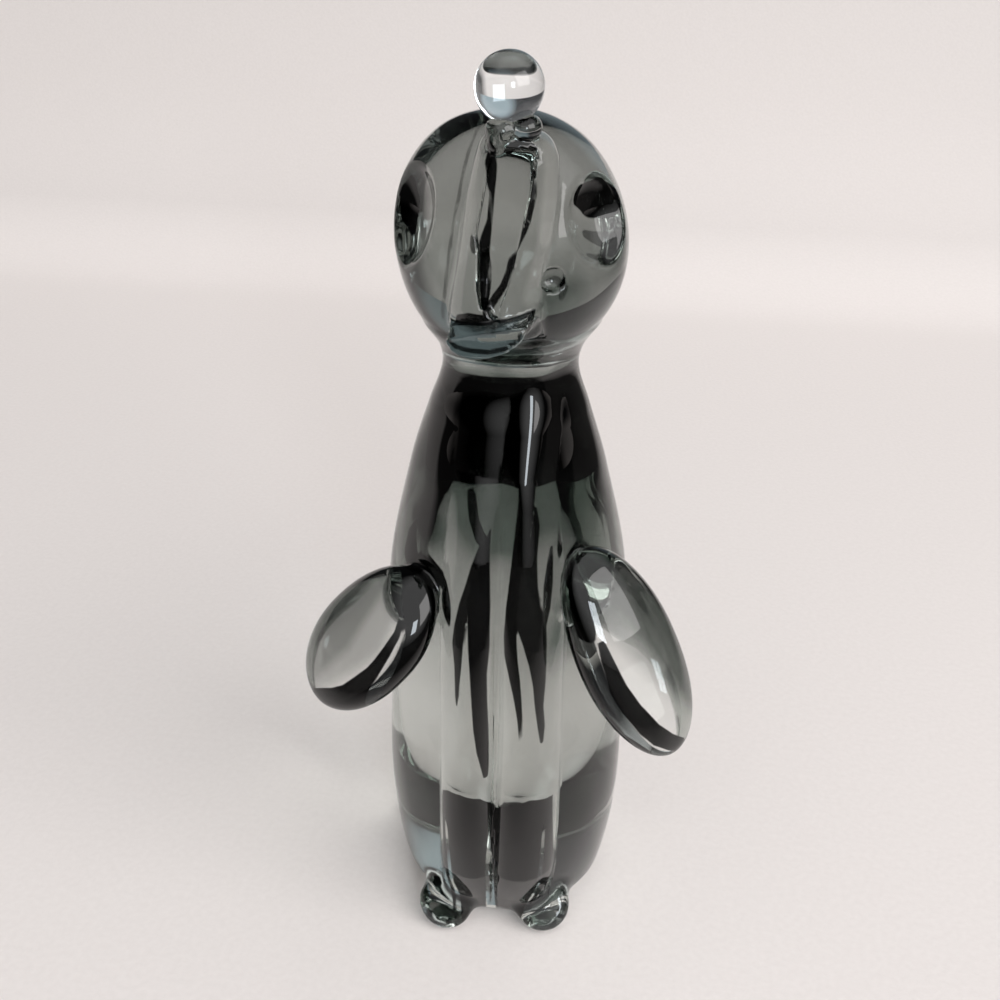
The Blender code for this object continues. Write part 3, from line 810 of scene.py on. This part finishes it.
# Strokes of painted shade on the head and the shoulders: how dark, then (x, y, z, half-width).
SHADE_STROKES = (
    (0.99, (
        (-15.8, -3.2, 156.2, 0.8), (-16.5, -2.7, 153.2, 2.3), (-16.4, -3.2, 150.6, 2.0),
        (-15.7, -4.9, 148.2, 0.7),
    )),
    (0.99, (
        (11.1, -8.6, 156.2, 1.8), (13.2, -5.8, 155.2, 3.2), (15.3, -4.2, 154.2, 2.6),
    )),
    (0.6, (
        (12.3, -8.5, 150.2, 0.7), (14.6, -7.0, 149.0, 1.3), (16.4, -5.6, 149.4, 0.8),
    )),
    (0.45, (
        (13.0, -11.2, 147.6, 0.5), (15.5, -9.2, 146.7, 0.8), (17.0, -6.8, 147.7, 0.5),
    )),
    (0.99, (
        (-1.0, -20.8, 165.2, 0.9), (-1.1, -19.6, 162.7, 0.9), (-1.1, -19.5, 160.7, 0.8),
        (-0.9, -19.6, 158.7, 0.4),
    )),
    (0.99, (
        (-0.9, -19.6, 158.7, 0.4), (-1.2, -19.8, 154.8, 0.45), (-1.9, -20.0, 151.4, 0.9),
        (-2.3, -18.8, 147.4, 1.2),
    )),
    (0.99, (
        (-2.3, -18.8, 147.4, 1.2), (-2.1, -19.0, 143.9, 1.1), (-1.8, -20.3, 142.4, 0.9),
        (-1.1, -22.9, 141.8, 0.7),
    )),
    (0.97, (
        (5.1, -19.9, 161.9, 0.6), (5.2, -21.1, 158.6, 0.5), (4.6, -21.7, 155.3, 0.45),
        (3.5, -21.9, 152.7, 0.5),
    )),
    (0.97, (
        (3.5, -21.9, 152.7, 0.5), (2.7, -21.2, 150.9, 0.8), (2.2, -20.6, 148.8, 0.7),
        (1.8, -20.5, 147.4, 0.5),
    )),
    (0.97, (
        (1.8, -20.5, 147.4, 0.5), (1.1, -20.7, 145.2, 0.6), (-0.9, -21.2, 142.2, 0.7),
    )),
    (0.75, (
        (-3.5, -21.1, 152.6, 0.5), (-3.3, -21.4, 151.6, 0.8), (-3.4, -21.7, 150.6, 0.4),
    )),
    (0.98, (
        (-6.9, -21.9, 139.2, 0.6), (-5.6, -21.4, 139.6, 1.0), (-3.7, -22.4, 140.3, 1.1),
        (-1.5, -23.3, 140.4, 1.0),
    )),
    (0.98, (
        (-1.5, -23.3, 140.4, 1.0), (0.7, -23.8, 140.6, 0.8), (2.5, -23.7, 141.0, 0.5),
    )),
    (0.9, (
        (-6.0, -28.2, 139.2, 0.3), (-4.9, -28.5, 138.2, 0.35), (-2.8, -28.5, 137.8, 0.4),
        (-0.1, -28.5, 137.7, 0.4),
    )),
    (0.9, (
        (-0.1, -28.5, 137.7, 0.4), (2.4, -28.3, 138.3, 0.4), (4.2, -28.0, 139.6, 0.35),
        (4.7, -27.5, 141.0, 0.3),
    )),
    (0.98, (
        (1.3, -19.5, 164.8, 0.7), (2.4, -20.8, 165.4, 1.1), (3.6, -20.4, 165.7, 1.3),
        (5.0, -19.8, 165.3, 0.6),
    )),
    (0.55, (
        (7.2, -16.2, 144.9, 0.4), (8.5, -15.8, 145.1, 0.6), (9.9, -16.6, 144.2, 0.7),
        (9.6, -16.8, 142.7, 0.6),
    )),
    (0.55, (
        (5.1, -15.5, 133.8, 1.0), (6.6, -15.6, 135.0, 0.8),
    )),
    (0.5, (
        (-4.8, -6.3, 165.3, 0.3), (-5.9, -11.3, 161.8, 0.35), (-6.5, -15.2, 156.9, 0.35),
        (-7.5, -17.7, 149.7, 0.35),
    )),
    (0.5, (
        (-7.5, -17.7, 149.7, 0.35), (-8.3, -17.7, 143.1, 0.35), (-9.2, -15.7, 137.7, 0.4),
    )),
    (0.98, (
        (-15.4, -11.9, 98.4, 0.3), (-16.2, -11.9, 94.6, 1.6), (-16.2, -12.6, 91.0, 2.4),
        (-15.2, -18.5, 89.6, 1.6),
    )),
    (0.6, (
        (-13.5, -13.6, 98.0, 0.3), (-13.4, -14.4, 94.6, 1.0), (-13.0, -15.6, 92.4, 1.0),
    )),
    (0.95, (
        (11.0, -15.2, 101.6, 0.4), (11.8, -16.6, 96.6, 1.2), (13.1, -18.7, 94.6, 1.6),
        (14.5, -20.6, 92.6, 1.8),
    )),
    (0.92, (
        (-4.5, -17.7, 107.4, 1.0), (-3.6, -19.0, 103.0, 0.9), (-2.2, -20.3, 99.9, 1.0),
    )),
)
# Streaks of painted shade on the flippers: (place along, one edge across, the other edge across).
LEFT_FLIPPER_PAINTED_SHADE = (
    (
        (-0.6, 0.33, 0.46), (-0.45, 0.47, 0.6), (-0.25, 0.54, 0.7), (-0.08, 0.58, 0.76),
        (0.06, 0.59, 0.8), (0.27, 0.54, 0.83), (0.45, 0.48, 0.88), (0.6, 0.36, 1.0),
        (0.73, 0.21, 1.0), (0.92, 0.0, 1.0),
    ),
    (
        (-1.2, -0.6, 1.2), (-0.88, -0.32, 1.2), (-0.75, 0.05, 1.2), (-0.64, 0.37, 1.2),
        (-0.51, 0.63, 1.2), (-0.28, 0.83, 1.2), (-0.06, 0.91, 1.2), (0.11, 0.93, 1.2),
        (0.4, 0.98, 1.2),
    ),
)
RIGHT_FLIPPER_PAINTED_SHADE = (
    (
        (-0.33, -0.67, -0.56), (-0.16, -0.76, -0.57), (0.0, -0.8, -0.57), (0.11, -0.83, -0.56),
        (0.32, -0.78, -0.48), (0.58, -0.64, -0.3), (0.75, -0.48, -0.1), (0.89, -0.24, 0.14),
        (1.0, 0.0, 0.2),
    ),
    (
        (-0.93, -0.4, -0.3), (-0.88, -0.45, -0.34), (-0.75, -0.64, -0.36), (-0.62, -0.75, -0.45),
        (-0.53, -0.8, -0.53), (-0.42, -0.85, -0.6), (-0.35, -0.76, -0.68),
    ),
    (
        (-0.8, -1.2, -0.8), (-0.6, -1.2, -0.88), (-0.3, -1.2, -0.93), (0.0, -1.2, -0.97),
        (0.3, -1.2, -0.93), (0.55, -1.2, -0.8), (0.83, -1.2, -0.5),
    ),
)
FLIPPER_STRENGTH = 0.985
# The painted shade lies only on glass that is this far in front of the body's axis, on the legs and the
# chest.
LEGS_IN_FRONT = 8.0
CHEST_IN_FRONT = 1.5


def inside_table(at, across, table):
    """How far inside a patch of painted shade a place is, from (place, one edge, the other edge) rows.
    """
    table = np.array(table)
    low, high = np.interp(at, table[:, 0], table[:, 1]), np.interp(at, table[:, 0], table[:, 2])
    return np.minimum(across - low, high - across), np.minimum(at - table[0, 0], table[-1, 0] - at)


def painted_shade(p):
    """How far inside a patch of painted shade each point is, in millimetres, and how dark the patch is.
    """
    x, y, z = p.T
    best = np.full(len(p), -SHADE_REACH)
    dark = np.zeros(len(p))

    def add(inside, strength):
        nonlocal best, dark
        nearer = inside > best
        best = np.where(nearer, inside, best)
        dark = np.where(nearer, strength, dark)

    in_front = body_axis_y(z) - y
    width, ends = inside_table(x, z, CHEST_PAINTED_SHADE)
    add(np.minimum(np.minimum(width, ends), in_front - CHEST_IN_FRONT), CHEST_STRENGTH)
    for strength, stroke in SHADE_STROKES:
        for a, b in zip(stroke, stroke[1:]):
            add(-capsule(p, a[:3], b[:3], a[3], b[3]), strength)
    on_legs = in_front - LEGS_IN_FRONT
    for strength, table in LEG_PAINTED_SHADE:
        width, ends = inside_table(z, x, table)
        add(np.minimum(np.minimum(width, ends), on_legs), strength)
    top = along(x, LOWER_LEG_TOP)
    for strength, table in LOWER_LEG_PAINTED_SHADE:
        width, _ = inside_table(z, x, table)
        ends = np.minimum(z - table[0][0], top - z)
        fading = np.interp(z, LOWER_LEG_HEIGHTS, (*LOWER_LEG_STRENGTHS, strength))
        add(np.minimum(np.minimum(width, ends), on_legs), fading)
    for flipper, tables in ((LEFT_FLIPPER, LEFT_FLIPPER_PAINTED_SHADE), (RIGHT_FLIPPER, RIGHT_FLIPPER_PAINTED_SHADE)):
        u, v, w, (long, wide, deep) = on_flipper(p, *flipper)
        near = 2.0 * (1.25 - np.sqrt(u**2 + v**2 + w**2)) * deep
        facing = (w + 0.25) * deep
        for table in tables:
            width, ends = inside_table(u, v, table)
            inside = np.minimum(np.minimum(width * wide, ends * long), np.minimum(near, facing))
            add(inside, FLIPPER_STRENGTH)
    return best, dark


# The sheet is painted with shade, in metres: darker where it bends up, and towards the viewer and the
# far right. Only what is seen in or through the glass shows the last two: there the painted shade stands
# in for the room's dark side.
BEND_SHADE = ((0.001, 0.025), (1.0, 0.83))
VIEWER_SHADE = ((-0.13, -0.045), (0.05, 1.0))
RIGHT_SHADE = ((0.20, 0.34), (1.0, 0.08))


def paper_material():
    material = bpy.data.materials.new("pale_paper")
    nodes, links = nodes_of(material)
    shader = nodes["Principled BSDF"]
    shader.inputs["Roughness"].default_value = 0.9
    shader.inputs["Specular IOR Level"].default_value = 0.2
    grain = noise(nodes, links, 700.0, 6.0)
    tone = ramp(nodes, links, grain, ((0.3, (0.80, 0.745, 0.72)), (0.7, (0.83, 0.775, 0.75))))
    place = nodes.new("ShaderNodeTexCoord")
    split = nodes.new("ShaderNodeSeparateXYZ")
    links.new(place.outputs["Object"], split.inputs[0])
    path = nodes.new("ShaderNodeLightPath")
    # Painted shade on the sheet, multiplied into its colour.
    shade = mapped(nodes, links, split.outputs["Z"], *BEND_SHADE)
    viewer = mapped(nodes, links, split.outputs["Y"], *VIEWER_SHADE)
    right = mapped(nodes, links, split.outputs["X"], *RIGHT_SHADE)
    room = calculated(nodes, links, "MULTIPLY", viewer, right)
    seen = calculated(nodes, links, "MAXIMUM", room, path.outputs["Is Camera Ray"])
    level = calculated(nodes, links, "MULTIPLY", shade, seen)
    links.new(scaled(nodes, links, tone, level), shader.inputs["Base Color"])
    bump = nodes.new("ShaderNodeBump")
    bump.inputs["Strength"].default_value = 0.15
    bump.inputs["Distance"].default_value = 0.0004
    links.new(grain, bump.inputs["Height"])
    links.new(bump.outputs["Normal"], shader.inputs["Normal"])
    return material


# The sheet, in metres: how far it reaches to the sides and to the front, how far behind the figurine
# it stands up and with which bend, its slope there and its top edge.
SHEET_REACH = 2.5
SHEET_BACK = 0.52
SHEET_BEND = 0.16
SHEET_SLOPE = math.radians(62)
SHEET_TOP = 0.20
BEND_STEPS = 24
SHEET_COLUMNS = 41
# It lies this little, in millimetres, under the figurine.
SHEET_DROP = 0.05


def build_sweep():
    """The pale sheet that the figurine stands on, which bends up a hand's breadth behind it."""
    flat_end = SHEET_BACK - SHEET_BEND
    profile = [(-SHEET_REACH, 0.0), (flat_end, 0.0)]
    for i in range(1, BEND_STEPS + 1):
        turn = SHEET_SLOPE * i / BEND_STEPS
        profile.append((flat_end + SHEET_BEND * math.sin(turn), SHEET_BEND * (1 - math.cos(turn))))
    y, z = profile[-1]
    profile.append((y + (SHEET_TOP - z) / math.tan(SHEET_SLOPE), SHEET_TOP))
    columns = np.linspace(-SHEET_REACH, SHEET_REACH, SHEET_COLUMNS)
    points = [(x / MM, y / MM, z / MM - SHEET_DROP) for y, z in profile for x in columns]
    faces = []
    for i in range(len(profile) - 1):
        for j in range(SHEET_COLUMNS - 1):
            a = i * SHEET_COLUMNS + j
            faces.append((a, a + 1, a + SHEET_COLUMNS + 1, a + SHEET_COLUMNS))
    sweep = mesh_object("sweep", np.array(points), np.array(faces))
    sweep.data.materials.append(paper_material())


# Colours of the room round the sheet.
BLACK = (0.0, 0.0, 0.0)
WHITE = (1.0, 1.0, 1.0)
PALE = (0.66, 0.61, 0.585)
DARK = (0.03, 0.03, 0.033)
CEILING = (1.2, 1.20, 1.20)
FAR_WINDOW = (0.30, 0.37, 0.40)
VIEWER_SIDE = (0.05, 0.05, 0.05)
# What the camera itself sees beyond the sheet.
BACKDROP = (0.80, 0.73, 0.70, 1.0)


def cosine(degrees):
    return math.cos(math.radians(degrees))


def level_of(degrees):
    """Place on the bands' ramp, from 0 straight down to 1 straight up."""
    return (math.sin(math.radians(degrees)) + 1.0) / 2.0


def build_world():
    """A pale horizon that is dark towards the viewer, a dark room above it, a far window, a ceiling."""
    world = bpy.data.worlds.new("room")
    bpy.context.scene.world = world
    world.use_nodes = True
    nodes, links = world.node_tree.nodes, world.node_tree.links
    place = nodes.new("ShaderNodeTexCoord")
    direction = place.outputs["Generated"]
    split = nodes.new("ShaderNodeSeparateXYZ")
    links.new(direction, split.inputs[0])
    path = nodes.new("ShaderNodeLightPath")

    lift = mapped(nodes, links, split.outputs["Z"], (-1.0, 1.0), (0.0, 1.0))
    heights = ((level_of(-20), PALE), (level_of(-2), PALE), (level_of(3), DARK), (1.0, DARK))
    bands = ramp(nodes, links, lift, heights)
    towards = likeness(nodes, links, direction, (0.0, -1.0, 0.0))
    viewer = ramp(nodes, links, towards, ((0.15, WHITE), (0.35, VIEWER_SIDE), (1.0, VIEWER_SIDE)))
    away = likeness(nodes, links, direction, (0.22, 1.0, 0.20))
    rings = ((0.0, BLACK), (cosine(28), BLACK), (cosine(17), FAR_WINDOW), (1.0, FAR_WINDOW))
    window = ramp(nodes, links, away, rings)
    above = likeness(nodes, links, direction, (0.30, -0.50, 0.82))
    rings = ((0.0, BLACK), (cosine(62), BLACK), (cosine(40), CEILING), (1.0, CEILING))
    ceiling = ramp(nodes, links, above, rings)

    light = mixed(nodes, links, "MULTIPLY", 1.0, bands, viewer)
    light = mixed(nodes, links, "ADD", 1.0, light, window)
    light = mixed(nodes, links, "ADD", 1.0, light, ceiling)
    light = mixed(nodes, links, "MIX", path.outputs["Is Camera Ray"], light, BACKDROP)
    links.new(light, nodes["Background"].inputs["Color"])


# What the lamps are turned to, in metres.
LAMP_AIM = Vector((0.0, 0.0, 0.09))
# Each lamp: direction from there, distance, width and height in metres, power in watts, and colour.
LAMPS = (
    ("window", (0.89, -0.55, 0.66), 1.8, 1.4, 1.2, 18.8, (1.0, 0.98, 0.97)),
    ("strip", (0.36, -1.0, 0.36), 1.4, 0.30, 0.42, 4.8, (0.86, 0.94, 1.0)),
)


def build_lamp(name, direction, distance, width, height, power, colour):
    """An area lamp that faces the figurine's middle."""
    lamp = bpy.data.lights.new(name, "AREA")
    lamp.shape = "RECTANGLE"
    lamp.size, lamp.size_y = width, height
    lamp.energy = power
    lamp.color = colour
    piece = bpy.data.objects.new(name, lamp)
    bpy.context.scene.collection.objects.link(piece)
    piece.location = LAMP_AIM + Vector(direction).normalized() * distance
    piece.rotation_euler = Vector(direction).to_track_quat("Z", "Y").to_euler()


# The camera as fitted to the photograph: lens on a 36 mm sensor, place in metres before it is turned
# round the figurine, and angles in degrees.
SENSOR_WIDTH = 36.0
LENS = 39.6
CAMERA_PLACE = Vector((-0.0015, -0.1792, 0.1998))
CAMERA_TURN, CAMERA_TILT, CAMERA_ROLL = 7, 60, 0.85


def build_camera():
    data = bpy.data.cameras.new("camera")
    data.sensor_width = SENSOR_WIDTH
    data.lens = LENS
    data.clip_start = 0.01
    camera = bpy.data.objects.new("camera", data)
    bpy.context.scene.collection.objects.link(camera)
    yaw = Matrix.Rotation(math.radians(CAMERA_TURN), 4, "Z")
    place = Matrix.Translation(CAMERA_PLACE)
    tilt = Matrix.Rotation(math.radians(CAMERA_TILT), 4, "X")
    roll = Matrix.Rotation(math.radians(CAMERA_ROLL), 4, "Z")
    camera.matrix_world = yaw @ place @ tilt @ roll
    bpy.context.scene.camera = camera


def build_glass():
    low, high = np.array(cad_low) / MM, np.array(cad_high) / MM
    # The grid has to hold the flare at the back of the base.
    high[1] = max(high[1], BACK_Y.max())
    skin = solid_of("fused_glass", glass_distance, low, high, CELL)
    points = mesh_points(skin)
    # Painted shade and painted light go into the glass's surface colour through the layers below.
    inside, strength = painted_shade(points)
    # The layer "smoke" holds the surface tint with its painted shade and painted light.
    add_layer(skin, "smoke", tint_with_painted_shade_and_light(points))
    add_layer(skin, "painted_shade_mask", 0.5 + np.clip(inside / SHADE_REACH, -1.0, 1.0) / 2.0)
    add_layer(skin, "painted_shade_depth", strength)
    skin.data.materials.append(glass_material("smoke_glass", *SMOKE_GLASS))
    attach(skin, "root")
    fused = [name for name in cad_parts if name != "ball"]
    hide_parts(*fused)

    ball = solid_of("clear_ball", ball_distance, BALL_LOW, BALL_HIGH, CELL * 0.5)
    add_layer(ball, "smoke", np.zeros(len(mesh_points(ball))))
    ball.data.materials.append(glass_material("clear_glass", *CLEAR_GLASS))
    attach(ball, "root")
    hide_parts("ball")


def set_light_paths():
    cycles = bpy.context.scene.cycles
    cycles.max_bounces = 32
    cycles.transmission_bounces = 32
    cycles.glossy_bounces = 16
    cycles.diffuse_bounces = 4
    cycles.caustics_reflective = True
    cycles.caustics_refractive = True
    cycles.blur_glossy = 0.0
    cycles.use_denoising = True


build_glass()
build_sweep()
build_world()
for lamp in LAMPS:
    build_lamp(*lamp)
build_camera()
set_light_paths()
view = bpy.context.scene.view_settings
view.view_transform = "Standard"
